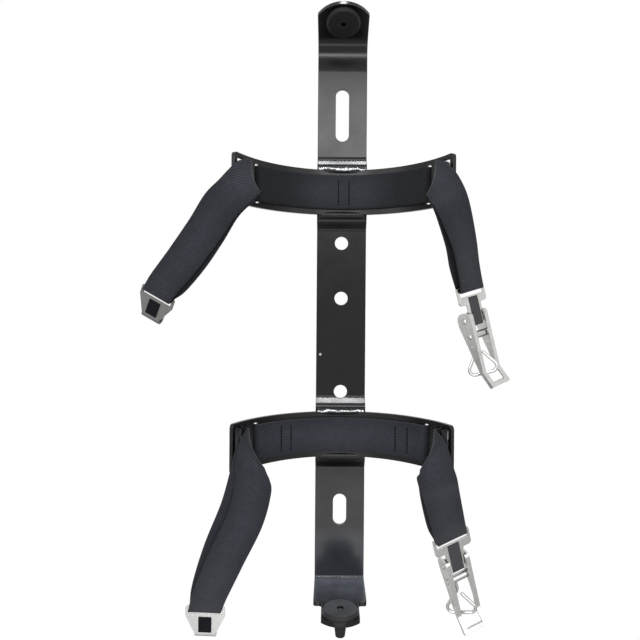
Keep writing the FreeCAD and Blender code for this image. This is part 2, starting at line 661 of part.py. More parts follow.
def make_latch_plate(label, prefix):
    """The T-shaped plate in a right-hand loop, with two ears folded back for the lever's pin."""
    body = new_body(label)
    outline = new_sketch(body, label + "_outline", "XZ_Plane")
    draw_polygon(outline, [
        ("-arm_outer / 2", "bar_width / 2"),
        ("arm_outer / 2", "bar_width / 2"),
        ("arm_outer / 2", "-head_end"),
        ("stem_width / 2", "-head_end"),
        ("stem_width / 2", "-stem_end"),
        ("-stem_width / 2", "-stem_end"),
        ("-stem_width / 2", "-head_end"),
        ("-arm_outer / 2", "-head_end"),
    ])
    extrude(body, "Pad", label + "_blank", outline, "latch_sheet")
    slot = new_sketch(body, label + "_slot", "XZ_Plane")
    draw_polygon(slot, [
        ("-arm_inner / 2", "-bar_width / 2"),
        ("arm_inner / 2", "-bar_width / 2"),
        ("arm_inner / 2", "-latch_slot_end"),
        ("-arm_inner / 2", "-latch_slot_end"),
    ])
    extrude(body, "Pocket", label + "_slot_cut", slot)
    upright = Vector(0, 1, 0)
    round_edges(body, label + "_head_corners", lambda edge: (
        runs_along(edge, upright) and abs(edge.CenterOfMass.x) > size("arm_inner") / 2 + 0.1
        and edge.CenterOfMass.z < 0), "head_corner")
    round_edges(body, label + "_arm_corners", lambda edge: (
        runs_along(edge, upright) and abs(edge.CenterOfMass.x) > size("arm_inner") / 2 + 0.1
        and edge.CenterOfMass.z > 0), "ear_sheet")
    round_edges(body, label + "_root_corners", lambda edge: (
        runs_along(edge, upright) and abs(edge.CenterOfMass.x) < size("stem_width") / 2 + 0.1
        and abs(edge.CenterOfMass.z + size("head_end")) < 0.1), "ear_sheet")

    ears = new_sketch(body, label + "_ears", "YZ_Plane")
    ear_low = "-pivot_drop - ear_round - 0.2"
    ear_high = "-pivot_drop + ear_round + 0.2"
    ear_back = "pivot_back + ear_round + 0.2"
    draw_polygon(ears, [
        ("-latch_sheet / 2", "-stem_end + ear_round * 2"),
        ("-latch_sheet / 2", "-stem_end"),
        ("latch_sheet / 2", ear_low),
        (ear_back, ear_low),
        (ear_back, ear_high),
        ("latch_sheet / 2", "-stem_end + ear_round * 2"),
    ])
    extrude(body, "Pad", label + "_ear_block", ears, "stem_width")
    between = new_sketch(body, label + "_between_ears", "YZ_Plane")
    draw_polygon(between, [
        ("latch_sheet / 2", "-stem_end + ear_round * 2 + trim"),
        ("latch_sheet / 2", "-stem_end"),
        ("-latch_sheet", "-stem_end"),
        ("-latch_sheet", "%s - trim" % ear_low),
        ("%s + trim" % ear_back, "%s - trim" % ear_low),
        ("%s + trim" % ear_back, "-stem_end + ear_round * 2 + trim"),
    ])
    extrude(body, "Pocket", label + "_ear_gap", between, "stem_width - 2 * ear_sheet")
    round_edges(body, label + "_ear_rounds", crosswise_at(body, [(ear_back, ear_low), (ear_back, ear_high)]), "ear_round")
    bore = new_sketch(body, label + "_pivot", "YZ_Plane")
    draw_circle(bore, "pivot_back", "-pivot_drop", "lever_pin + 2 * running_fit")
    extrude(body, "Pocket", label + "_pivot_bore", bore)
    hang(body, prefix)
    return body


def make_lever(label, prefix):
    """The latch's lever: two tapered side walls, narrow front strips, a kicked-out tip and an end bar."""
    body = new_body(label)
    half_kick = "tan(lever_kick * 1 deg / 2)"
    sine, cosine = "sin(lever_kick * 1 deg)", "cos(lever_kick * 1 deg)"
    tip = ("-lever_front - lever_tip_length * %s" % sine, "-lever_bend_drop - lever_tip_length * %s" % cosine)
    tip_back = (
        "%s + lever_tail_height * %s" % (tip[0], cosine),
        "%s - lever_tail_height * %s" % (tip[1], sine),
    )
    knee = ("-lever_front + lever_tail_height", "-lever_bend_drop - lever_tail_height * %s" % half_kick)
    side = new_sketch(body, label + "_side", "YZ_Plane")
    draw_polygon(side, [
        ("-lever_front", "lever_back"),
        ("-lever_front", "-lever_bend_drop"),
        tip,
        tip_back,
        knee,
        ("lever_back", "-lever_back * 2 / 3"),
        ("lever_back", "lever_back"),
    ])
    extrude(body, "Pad", label + "_block", side, "lever_width")
    round_edges(body, label + "_ear", crosswise_at(body, [("lever_back", "lever_back")]), "lever_ear")
    round_edges(body, label + "_ear_front", crosswise_at(body, [("-lever_front", "lever_back")]), "lever_back / 2")
    round_edges(body, label + "_heel", crosswise_at(body, [("lever_back", "-lever_back * 2 / 3")]), "lever_ear")
    round_edges(body, label + "_bend_front", crosswise_at(body, [("-lever_front", "-lever_bend_drop")]), "lever_tail_height")
    round_edges(body, label + "_bend_back", crosswise_at(body, [knee]), "2 * lever_tail_height")

    channel = new_sketch(body, label + "_channel", "YZ_Plane")
    web = "-lever_front + lever_sheet"
    web_bend = "-lever_bend_drop - lever_sheet * %s" % half_kick
    past = "(lever_tip_length + 3 * trim)"
    draw_polygon(channel, [
        (web, "lever_back + trim"),
        (web, web_bend),
        ("%s - %s * %s" % (web, past, sine), "%s - %s * %s" % (web_bend, past, cosine)),
        ("lever_back + trim", "%s - %s * %s" % (web_bend, past, cosine)),
        ("lever_back + trim", "lever_back + trim"),
    ])
    extrude(body, "Pocket", label + "_channel_cut", channel, "lever_width - 2 * lever_sheet")
    window = new_sketch(body, label + "_window", "XZ_Plane")
    window_low = "-lever_bend_drop - (lever_tip_length - lever_end_bar) * %s" % cosine
    draw_polygon(window, [
        ("-lever_window / 2", "lever_back + trim"),
        ("lever_window / 2", "lever_back + trim"),
        ("lever_window / 2", window_low),
        ("-lever_window / 2", window_low),
    ])
    extrude(body, "Pocket", label + "_window_cut", window)
    holes = new_sketch(body, label + "_holes", "YZ_Plane")
    draw_circle(holes, "0", "0", "lever_pin")
    draw_circle(holes, "-bail_pin_front", "-bail_pin_drop", "bail_pin")
    draw_circle(holes, "-bail_pin_front", "-tooling_hole_drop", "tooling_hole")
    extrude(body, "Pocket", label + "_hole_cuts", holes)
    hang(body, prefix, y="pivot_back", z="-pivot_drop")
    return body


def make_rivet(label, prefix, diameter, y, z):
    """A headed pin across the lever's walls."""
    body = new_body(label)
    profile = new_sketch(body, label + "_profile", "XY_Plane")
    rim = "%s / 2 + rivet_head / 2" % diameter
    corners = [
        ("lever_width / 2 + rivet_rise", "0"),
        ("lever_width / 2 + rivet_rise", "%s / 2" % diameter),
        ("lever_width / 2 + rivet_rise / 3", rim),
        ("lever_width / 2", rim),
        ("lever_width / 2", "%s / 2" % diameter),
    ]
    mirrored = [("-(%s)" % across, up) for across, up in reversed(corners)]
    draw_polygon(profile, corners + mirrored)
    turn(body, "Revolution", label + "_turned", profile, "H_Axis", "360")
    hang(body, prefix, y=y, z=z)
    return body


def make_barrel(label, prefix, y, z):
    """The barrel that turns on the bail pin, with a cross hole for the bail's shank."""
    body = new_body(label)
    profile = new_sketch(body, label + "_profile", "XY_Plane")
    draw_polygon(profile, [
        ("-barrel_length / 2", "bail_pin / 2 + running_fit"),
        ("barrel_length / 2", "bail_pin / 2 + running_fit"),
        ("barrel_length / 2", "barrel / 2"),
        ("-barrel_length / 2", "barrel / 2"),
    ])
    turn(body, "Revolution", label + "_turned", profile, "H_Axis", "360")
    seat = new_sketch(body, label + "_seat", "XY_Plane")
    seat.setExpression("AttachmentOffset.Base.z", bound("-barrel / 2 - trim"))
    draw_circle(seat, "-shank_offset", "0", "bail_wire + 2 * running_fit")
    extrude(body, "Pocket", label + "_seat_cut", seat, "shank_seat + trim", midplane=False, backwards=True)
    hang(body, prefix, y=y, z=z)
    return body


def rounded_path(points, radii):
    """A wire through the points whose corners are tangent arcs of the given radii."""
    edges = []
    start = points[0]
    for before, corner, after, radius in zip(points, points[1:], points[2:], radii):
        arriving = (corner - before).normalize()
        leaving = (after - corner).normalize()
        turn_angle = arriving.getAngle(leaving)
        setback = radius * math.tan(turn_angle / 2)
        entry = corner - arriving * setback
        exit_point = corner + leaving * setback
        inward = (leaving - arriving).normalize()
        middle = corner + inward * (radius / math.cos(turn_angle / 2) - radius)
        edges.append(Part.LineSegment(start, entry).toShape())
        edges.append(Part.Arc(entry, middle, exit_point).toShape())
        start = exit_point
    edges.append(Part.LineSegment(start, points[-1]).toShape())
    return Part.Wire(edges)


def make_bail(label, prefix, y, z):
    """The open triangular wire hook, whose shank turns in the barrel and whose other end is free."""
    wire = size("bail_wire")
    base = -size("bail_height")
    half = size("bail_half_width")
    top = -(size("barrel") / 2 - size("shank_seat") + size("running_fit"))
    shank_bend = -3.9 * wire
    points = [
        Vector(0, 0, top),
        Vector(0, 0, shank_bend),
        Vector(-half, 0, base),
        Vector(half, 0, base),
        Vector(0.9 * wire, 0, shank_bend - 1.3 * wire),
    ]
    path = rounded_path(points, [2 * wire, size("bail_corner"), size("bail_corner")])
    section = Part.Wire(Part.Circle(points[0], Vector(0, 0, 1), wire / 2).toShape())
    bail = document.addObject("Part::Feature", label)
    bail.Shape = path.makePipeShell([section], True, True)
    hang(bail, prefix, x="-shank_offset", y=y, z=z, spin="-bail_twist")
    return keep(bail, label)


def width_direction(slope, twist):
    """Unit vector across a ribbon from its left edge to its right edge, seen from the front."""
    across = math.cos(math.radians(twist))
    return Vector(
        across * math.cos(math.radians(slope)),
        math.sin(math.radians(twist)),
        -across * math.sin(math.radians(slope)))


def ribbon_section(centre, width, along, thickness):
    """A rectangle across a ribbon at one station."""
    normal = along.cross(width).normalize() * (thickness / 2)
    half = width * (size("webbing_width") / 2 - size("sling_gap"))
    return [centre - half - normal, centre + half - normal, centre + half + normal, centre - half + normal]


def ribbon_solid(sections):
    """A closed solid through four-cornered sections, with three-cornered faces along its sides."""
    faces = [sections[0], sections[-1]]
    for near, far in zip(sections, sections[1:]):
        for index in range(4):
            following = (index + 1) % 4
            faces.append([near[index], near[following], far[following]])
            faces.append([near[index], far[following], far[index]])
    shell = Part.Shell([Part.Face(Part.makePolygon(face + face[:1])) for face in faces])
    solid = Part.Solid(shell)
    if solid.Volume < 0:
        solid.reverse()
    return solid


def make_loop(start, direction, start_width, prefix):
    """A hanging loop of webbing, from its window to the eye that holds its bar."""
    frame = hanging_frame(prefix)
    bar_width = frame.Rotation.multVec(Vector(1, 0, 0))
    stations = [(start - direction * size("trim"), start_width, size("sling_thickness") - size("sling_gap"))]
    for x, depth, z, slope, twist, thickness in LOOPS[prefix]:
        stations.append((Vector(x, -depth, z), width_direction(slope, twist), thickness))
    eye_outer = size("eye_radius") + size("eye_wall")
    stations.append((frame.Base, bar_width, 2 * eye_outer - 0.4))
    sections = []
    for index, (centre, width, thickness) in enumerate(stations):
        if index == 0:
            along = direction
        elif index == len(stations) - 1:
            along = centre - stations[index - 1][0]
        else:
            along = stations[index + 1][0] - stations[index - 1][0]
        along = (along - width * along.dot(width)).normalize()
        sections.append(ribbon_section(centre, width, along, thickness))
    ribbon = ribbon_solid(sections)
    half = bar_width * (size("webbing_width") / 2)
    eye = Part.makeCylinder(eye_outer, size("webbing_width"), frame.Base - half, bar_width)
    room = Part.makeCylinder(
        size("eye_radius"), size("webbing_width") + 2, frame.Base - half - bar_width, bar_width)
    return ribbon, eye, room


def make_webbing(label, height, hook, latch):
    """One endless sling: the band in the cradle, its way round each bridge, and the two loops."""
    radius = size("cradle_radius")
    plate = size("cradle_plate")
    thick = size("sling_thickness")
    axis_depth = size("saddle_rise") + size("plate") + plate + radius
    slot_middle = size("inner_slot_angle")
    bridge_start = slot_middle + size("inner_slot_span") / 2
    bridge_end = size("window_angle") - size("window_span") / 2
    band_end = slot_middle - 5
    lie = -size("sling_gap") - thick / 2
    way = [
        (band_end, lie),
        (slot_middle - 1.7, lie - 0.7),
        (slot_middle - 0.2, plate / 2),
        (slot_middle + 0.3, plate + 0.7),
        (bridge_start + 0.4, plate + 1.9),
        (bridge_end - 0.4, plate + 1.9),
        (bridge_end + 1.3, plate + 0.7),
        (bridge_end + 1.8, plate / 2),
        (bridge_end + 1.9, -2.2),
    ]

    def polar(angle, offset, side):
        swing = math.radians(angle)
        return Vector(
            side * (radius + offset) * math.sin(swing),
            (radius + offset) * math.cos(swing) - axis_depth,
            height)

    base = Vector(0, 0, -size("webbing_width") / 2)
    rise = Vector(0, 0, size("webbing_width"))
    solids = []
    rooms = []
    for side, prefix in ((-1, hook), (1, latch)):
        points = [polar(angle, offset, side) for angle, offset in way]
        near, far = [], []
        for index, point in enumerate(points):
            before = points[max(index - 1, 0)]
            after = points[min(index + 1, len(points) - 1)]
            if index == 0:
                swing = math.radians(band_end)
                along = Vector(side * math.cos(swing), -math.sin(swing), 0)
            else:
                along = (after - before).normalize()
            aside = Vector(0, 0, 1).cross(along)
            stretch = 1.0
            if 0 < index < len(points) - 1:
                stretch = 1 / max(0.8, math.cos((point - before).getAngle(after - point) / 2))
            near.append(point + base + aside * (thick / 2 * stretch))
            far.append(point + base - aside * (thick / 2 * stretch))
        ring = Part.makePolygon(near + far[::-1] + near[:1])
        solids.append(Part.Face(ring).extrude(rise))
        direction = (points[-1] - points[-2]).normalize()
        start_width = Vector(0, 0, float(side))
        ribbon, eye, room = make_loop(points[-1], direction, start_width, prefix)
        solids += [ribbon, eye]
        rooms.append(room)
    left = [polar(band_end, lie + half, -1) + base for half in (-thick / 2, thick / 2)]
    middle = [polar(0, lie + half, 1) + base for half in (-thick / 2, thick / 2)]
    right = [polar(band_end, lie + half, 1) + base for half in (-thick / 2, thick / 2)]
    band_edges = [
        Part.Arc(left[0], middle[0], right[0]).toShape(),
        Part.LineSegment(right[0], right[1]).toShape(),
        Part.Arc(right[1], middle[1], left[1]).toShape(),
        Part.LineSegment(left[1], left[0]).toShape(),
    ]
    band = Part.Face(Part.Wire(band_edges)).extrude(rise)
    sling = band.multiFuse(solids).cut(rooms)
    webbing = document.addObject("Part::Feature", label)
    webbing.Shape = sling.Solids[0] if len(sling.Solids) == 1 else sling
    return keep(webbing, label)


def build():
    backbone = make_backbone()
    place_bumpers(make_bumper("top_bumper"), make_bumper("bottom_bumper"))
    for name, height in (("upper", "upper_cradle_height"), ("lower", "-lower_cradle_drop")):
        cradle = make_cradle(name + "_cradle", height)
        make_welds(name + "_cradle_welds", backbone, cradle, height)
        hook, latch = name + "_hook", name + "_latch"
        make_webbing(name + "_webbing", value_of(sheet, height), hook, latch)
        make_hook_plate(name + "_hook_plate", hook)
        make_pad(name + "_hook_pad", hook, "hook_pad_width", "hook_pad_top", "(hook_pad_top + hook_pad_length)")
        make_latch_plate(name + "_latch_plate", latch)
        make_pad(name + "_latch_pad", latch, "latch_pad_width", "latch_pad_top", "latch_pad_end")
        make_lever(name + "_lever", latch)
        make_rivet(name + "_lever_pin", latch, "lever_pin", "pivot_back", "-pivot_drop")
        pin_y, pin_z = "pivot_back - bail_pin_front", "-pivot_drop - bail_pin_drop"
        make_rivet(name + "_bail_pin", latch, "bail_pin", pin_y, pin_z)
        make_barrel(name + "_bail_barrel", latch, pin_y, pin_z)
        make_bail(name + "_bail", latch, pin_y, pin_z)
    document.recompute()


def check_and_write():
    """Stop on any failed object, then write one file for each sub-part."""
    for thing in document.Objects:
        if "Invalid" in thing.State or "Error" in thing.State:
            raise RuntimeError("%s did not build: %s" % (thing.Label, thing.State))
    os.makedirs("parts", exist_ok=True)
    for thing in PARTS:
        shape = thing.Shape
        if shape.isNull() or not shape.isValid() or not shape.Solids:
            raise RuntimeError("%s has no sound solid" % thing.Label)
        shape.exportStep("parts/%s.step" % thing.Label)
        box = shape.BoundBox
        print("%-22s solids %d volume %.1f  x %.1f %.1f  y %.1f %.1f  z %.1f %.1f" % (
            thing.Label, len(shape.Solids), shape.Volume,
            box.XMin, box.XMax, box.YMin, box.YMax, box.ZMin, box.ZMax))


build()
check_and_write()
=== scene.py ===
"""Looks of the extinguisher bracket: painted steel, rubber bumpers, webbing slings and bright latches.

The row's frame: +X right, +Y into the wall, +Z up. The bracket's sizes are in millimetres and
degrees, and MM makes metres of them where they reach Blender. The camera, the floor and the lamps
are in metres. A depth is a distance from the wall towards the viewer.
"""

import math

import bpy
from mathutils import Euler, Matrix, Vector


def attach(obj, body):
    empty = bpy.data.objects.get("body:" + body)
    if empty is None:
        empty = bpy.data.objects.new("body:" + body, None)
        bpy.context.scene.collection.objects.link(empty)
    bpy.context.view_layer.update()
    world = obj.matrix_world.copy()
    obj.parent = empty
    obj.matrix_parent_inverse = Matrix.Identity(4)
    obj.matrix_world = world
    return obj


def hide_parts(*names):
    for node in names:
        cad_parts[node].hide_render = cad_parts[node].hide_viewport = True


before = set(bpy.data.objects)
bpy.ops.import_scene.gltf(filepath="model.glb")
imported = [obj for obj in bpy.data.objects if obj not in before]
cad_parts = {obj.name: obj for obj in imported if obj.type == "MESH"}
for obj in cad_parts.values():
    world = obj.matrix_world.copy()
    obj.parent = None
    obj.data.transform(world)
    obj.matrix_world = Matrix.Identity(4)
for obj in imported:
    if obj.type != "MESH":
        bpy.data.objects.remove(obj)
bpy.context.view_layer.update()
bpy.ops.object.select_all(action="DESELECT")

MM = 0.001

# Camera: lens, place and lean worked out from the strap's outline in the photograph.
IMAGE_SIDE = 640
FOCAL_PIXELS = 540
PRINCIPAL = (330, 310)
SENSOR_WIDTH = 36
CAMERA_PLACE = (-8.55 * MM, -423.2 * MM, 5.7 * MM)
CAMERA_ROLL = 0.42
NEAREST_SEEN = 10 * MM

# The bent steel strap: its sheet, saddles, leaning tab and foot, how far out the foot's bumper is,
# and how far the middles of both bumpers' dimples are from the steel.
PLATE = 3.2
SADDLE_RISE = 6.0
TAB_CORNER = 213.6
TAB_LEAN = 66
TAB_REACH = 20.6
FOOT_DROP = 201.8
FOOT_BUMPER_DEPTH = 53.5
DIMPLE_RISE = 3.0

# The two cradles, and how far the crest of a cradle's upper weld is above its middle.
CRADLE_RADIUS = 79.0
CRADLE_PLATE = 2.5
AXIS_DEPTH = SADDLE_RISE + PLATE + CRADLE_PLATE + CRADLE_RADIUS
UPPER_HEIGHT = 95.2
LOWER_HEIGHT = -88.6
WELD_RISE = 17.6

# The slings: width, thickness of a layer, from a bar's middle to that of the layer round it, from
# one layer's middle to the other's where they lie together, and from the cradle's inner radius to
# the middle of the sling that lines it.
WEBBING_WIDTH = 25.4
LAYER = 1.15
EYE = 2.75
CLOSE = LAYER + 0.02
LINING = -1.4

# The weave: from one slanted cord to the next, from one rib to the next, and the cords' slant.
CORD_PITCH = 3.0
RIB_PITCH = 1.15
CORD_SLANT = 1.5

# The two blocks on each latch plate, measured from its bar: half width, top and lower end below the
# bar, and front and back towards the wall.
TONGUE = (5.6, 22.4, 29, -0.8, 0.8)
LONG_PAD = (4.7, 6.8, 28.5, -1.3, -0.8)

# The stitching: stitches in a row, their radius and stretch, half a row's height, how far the upper
# rows' middle is below their cradle's, and the angles of the rows round each cradle.
STITCHES = 8
STITCH_RADIUS = 0.5
STITCH_STRETCH = 2.4
ROW_HALF_HEIGHT = 9.5
UPPER_ROW_DROP = 0.8
UPPER_ROWS = (-2.1, 3.9)
LOWER_ROWS = (-34.7, -28.7, 31.6, 38.9)

# Paint: black of the strap, the cradles and the welds, and the one chip, by the strap's left edge.
STRAP_BLACK = (0.003, 0.0032, 0.0037)
CRADLE_BLACK = (0.007, 0.0073, 0.008)
WELD_BLACK = (0.006, 0.0063, 0.007)
BARE_STEEL = (0.55, 0.55, 0.54)
CHIP = (-15.9 * MM, -PLATE * MM, -28.9 * MM)

# The painted highlight along an upper weld, a wavering line of bright metal colour: its metal, how far
# it wavers, and from its middle how far it is bright and how far the last of it reaches.
WELD_GLINT_METAL = (0.72, 0.74, 0.77)
GLINT_WAVER = 4.5 * MM
GLINT_FADE = (0.35 * MM, 0.8 * MM)

# Dust on the strap's upward faces, partly dust and partly painted sheen: colours at the front and near
# the wall, and the depths between which they change. The paler colour near the wall is a painted band of
# light.
FRONT_DUST = (0.018, 0.02, 0.025)
WALL_DUST_AND_SHEEN = (0.15, 0.163, 0.2)
DUST_TO_SHEEN_FADE = (-45 * MM, -8 * MM)

# A paler tone low on the strap: colour, the heights between which it ends, and the places between
# which the saddles and the foot end and the strap's flat face begins.
LOW_PALE_TONE = (0.03, 0.032, 0.04)
LOW_PALE_FADE = (-172 * MM, -162 * MM)
FACE_FADE = (-6 * MM, -4 * MM)

# Webbing: yarn in the weave's hollows and on its cords, and where painted shade darkens it
# at the upper cradle's sides: to the side, towards the wall and up.
HOLLOW_YARN = (0.0085, 0.0095, 0.013)
CORD_YARN = (0.047, 0.051, 0.067)
SHADED_SIDE = (18 * MM, 40 * MM)
SHADED_DEPTH = (-56 * MM, -48 * MM)
SHADED_HEIGHT = (78 * MM, 82 * MM)

# Bends of the strap that the paint's shading makes rounder: height of the bend's middle and rise of
# the shading over it. Half a bend is BEND_REACH high.
STRAP_BENDS = ((119.3, 3.1), (-66.2, 0.5), (196.5, -1.1))
BEND_REACH = 5.75

# The span in which most of a noise texture's values lie, and the sharpest edge that is shaded smooth.
NOISE_SPAN = (0.3, 0.7)
SMOOTH_ANGLE = 32

# The floor, which reaches a little way behind the wall's plane, and the world's level of light.
FLOOR_HEIGHT = -0.62
FLOOR_WIDTH = 2.4
FLOOR_DEPTH = 1.6
FLOOR_BACK = 0.3
WORLD_LEVEL = 0.28

# Each lamp: name, place, aim, width and height, and power in watts.
LAMPS = (
    ("front_top_light", (0, -1.3, 0.56), (0, 0, 0.05), (1.2, 0.34), 9.5),
    ("overhead_light", (0, -0.28, 1.1), (0, -0.28, 0), (0.2, 0.2), 4.2),
    ("left_light", (-0.9, -0.9, 0.5), (0, 0, 0), (0.5, 0.8), 2.6),
    ("right_light", (0.9, -1.0, 0.2), (0, 0, 0), (0.5, 0.8), 1.2),
    ("low_light", (0, -0.57, -0.38), (0, 0, -0.18), (0.5, 0.2), 0.75),
)


def set_camera():
    """The photograph's camera: level, a little rolled, with a small shift."""
    data = bpy.data.cameras.new("photo_camera")
    data.sensor_width = SENSOR_WIDTH
    data.lens = FOCAL_PIXELS / IMAGE_SIDE * data.sensor_width
    data.shift_x = (IMAGE_SIDE / 2 - PRINCIPAL[0]) / IMAGE_SIDE
    data.shift_y = (PRINCIPAL[1] - IMAGE_SIDE / 2) / IMAGE_SIDE
    data.clip_start = NEAREST_SEEN
    camera = bpy.data.objects.new("photo_camera", data)
    camera.location = CAMERA_PLACE
    camera.rotation_euler = Euler((math.radians(90), math.radians(-CAMERA_ROLL), 0))
    bpy.context.scene.collection.objects.link(camera)
    bpy.context.scene.camera = camera


set_camera()


class Finish:
    """A node material for one finish, with short words for wiring it up."""

    SOCKETS = {
        "colour": "Base Color", "metal": "Metallic", "roughness": "Roughness",
        "specular": "Specular IOR Level", "sheen": "Sheen Weight",
        "sheen_roughness": "Sheen Roughness", "normal": "Normal",
    }

    def __init__(self, name):
        self.material = bpy.data.materials.new(name)
        self.material.use_nodes = True
        self.tree = self.material.node_tree
        self.shader = self.tree.nodes["Principled BSDF"]

    def put(self, value, socket):
        """Wire a node's output into a socket, or set the socket to a number, colour or place."""
        if isinstance(value, bpy.types.NodeSocket):
            self.tree.links.new(value, socket)
        elif socket.type == "RGBA":
            socket.default_value = value + (1,)
        else:
            socket.default_value = value

    def add(self, kind, inputs=None, **settings):
        """A new node with its inputs, by label or number, and its settings."""
        node = self.tree.nodes.new("ShaderNode" + kind)
        for key, value in settings.items():
            setattr(node, key, value)
        for key, value in (inputs or {}).items():
            self.put(value, node.inputs[key])
        return node

    def surface(self, **channels):
        """Fill the shader's own sockets and give the finished material."""
        for channel, value in channels.items():
            self.put(value, self.shader.inputs[self.SOCKETS[channel]])
        return self.material

    def place(self):
        """The object's own coordinates, which are the row's frame in metres."""
        return self.add("TexCoord").outputs["Object"]

    def axes(self, vector):
        """The three parts of a place, a direction or a map."""
        return self.add("SeparateXYZ", {"Vector": vector}).outputs

    def distance(self, where, point):
        """How far each place is from one point."""
        apart = self.add("VectorMath", {0: where, 1: point}, operation="DISTANCE")
        return apart.outputs["Value"]

    def noise(self, where, scale, detail):
        texture = self.add(
            "TexNoise", {"Vector": where, "Scale": scale, "Detail": detail, "Roughness": 0.55})
        return texture.outputs["Fac"]

    def math(self, operation, *values):
        return self.add("Math", dict(enumerate(values)), operation=operation).outputs["Value"]

    def spread(self, value, span, target, curve="LINEAR"):
        """Carry a span of values over to another span, and stop at its ends."""
        inputs = {"Value": value, "From Min": span[0], "From Max": span[1],
                  "To Min": target[0], "To Max": target[1]}
        return self.add("MapRange", inputs, interpolation_type=curve).outputs["Result"]

    def vary(self, noise, low, high):
        """Let a value vary with a noise texture, from low to high."""
        return self.spread(noise, NOISE_SPAN, (low, high))

    def blend(self, factor, first, second):
        node = self.add("Mix", {0: factor}, data_type="RGBA")
        for name, value in (("A", first), ("B", second)):
            self.put(value, next(s for s in node.inputs if s.name == name and s.type == "RGBA"))
        return next(s for s in node.outputs if s.type == "RGBA")

    def bump(self, height, distance, strength=1.0, over=None):
        inputs = {"Height": height, "Distance": distance, "Strength": strength}
        if over is not None:
            inputs["Normal"] = over
        return self.add("Bump", inputs).outputs["Normal"]

    def soft_edges(self, radius):
        return self.add("Bevel", {"Radius": radius}, samples=6).outputs["Normal"]

    def round_bend(self, where, middle, rise, over):
        """Shade a sloping face as part of a rounder bend about a height."""
        _, _, height = self.axes(where)
        span = (middle - BEND_REACH * MM, middle + BEND_REACH * MM)
        return self.bump(self.spread(height, span, (0, rise), "SMOOTHSTEP"), 1, over=over)

    def dust_and_sheen_on_top(self, colour, dust_and_sheen, where):
        """A thin film on faces that look up: partly dust, partly painted sheen."""
        _, _, up = self.axes(self.add("NewGeometry").outputs["Normal"])
        upward = self.spread(up, (0.55, 0.95), (0, 1))
        patchy = self.vary(self.noise(where, scale=75, detail=4), 0.55, 1)
        return self.blend(self.math("MULTIPLY", upward, patchy), colour, dust_and_sheen)


def strap_marks(f, where, colour):
    """The strap's chip, its dust and painted sheen, paler by the wall, and a paler tone low on its face."""
    ragged = f.math("MULTIPLY", f.noise(where, scale=1300, detail=2), 1.1 * MM)
    off_chip = f.math("ADD", f.distance(where, CHIP), ragged)
    colour = f.blend(f.spread(off_chip, (1.3 * MM, 1.7 * MM), (1, 0)), colour, BARE_STEEL)
    _, toward_wall, height = f.axes(where)
    # Paler towards the wall: a painted band of light near the bends.
    painted_sheen_near_wall = f.spread(toward_wall, DUST_TO_SHEEN_FADE, (0, 1))
    dust_and_sheen = f.blend(painted_sheen_near_wall, FRONT_DUST, WALL_DUST_AND_SHEEN)
    colour = f.dust_and_sheen_on_top(colour, dust_and_sheen, where)
    low = f.spread(height, LOW_PALE_FADE, (1, 0))
    on_face = f.spread(toward_wall, FACE_FADE, (0, 1))
    patchy = f.vary(f.noise(where, scale=40, detail=3), 0.7, 1)
    pale_low = f.math("MULTIPLY", f.math("MULTIPLY", low, on_face), patchy)
    return f.blend(pale_low, colour, LOW_PALE_TONE)


def black_paint(name, roughness, black, marks=None, bends=()):
    """Satin black paint on steel: mottled, with orange peel, softer edges and rounder bends."""
    f = Finish(name)
    where = f.place()
    mottled = f.noise(where, scale=60, detail=4)
    orange_peel = f.noise(where, scale=900, detail=2)
    colour = f.blend(mottled, tuple(c * 0.7 for c in black), black)
    if marks:
        colour = marks(f, where, colour)
    normal = f.soft_edges(0.7 * MM)
    for middle, rise in bends:
        normal = f.round_bend(where, middle * MM, rise * MM, normal)
    return f.surface(
        colour=colour,
        roughness=f.vary(mottled, roughness - 0.03, roughness + 0.05),
        specular=0.3,
        normal=f.bump(orange_peel, 0.02 * MM, strength=0.3, over=normal))


def weld_paint(name, crest_height):
    """Black paint over rippled welds, with a painted bright-metal highlight wavering along the upper bead.
    """
    f = Finish(name)
    where = f.place()
    _, _, height = f.axes(where)
    even = f.math("SUBTRACT", f.noise(where, scale=130, detail=2), 0.5)
    waver = f.math("MULTIPLY", even, GLINT_WAVER)
    off_crest = f.math("SUBTRACT", f.math("ADD", height, waver), crest_height * MM)
    line = f.spread(f.math("ABSOLUTE", off_crest), GLINT_FADE, (1, 0))
    patchy = f.spread(f.noise(where, scale=300, detail=3), (0.3, 0.5), (0.35, 1))
    # A painted highlight: a bright, partly metallic line along the upper bead's crest.
    painted_glint = f.math("MULTIPLY", line, patchy)
    ripple = f.add("TexWave", {"Vector": where, "Scale": 110, "Distortion": 3, "Detail": 2},
                   bands_direction="X", wave_profile="SIN")
    return f.surface(
        colour=f.blend(painted_glint, WELD_BLACK, WELD_GLINT_METAL),
        metal=f.math("MULTIPLY", painted_glint, 0.4),
        roughness=0.26,
        specular=0.35,
        normal=f.bump(ripple.outputs["Fac"], 0.4 * MM, strength=0.7))


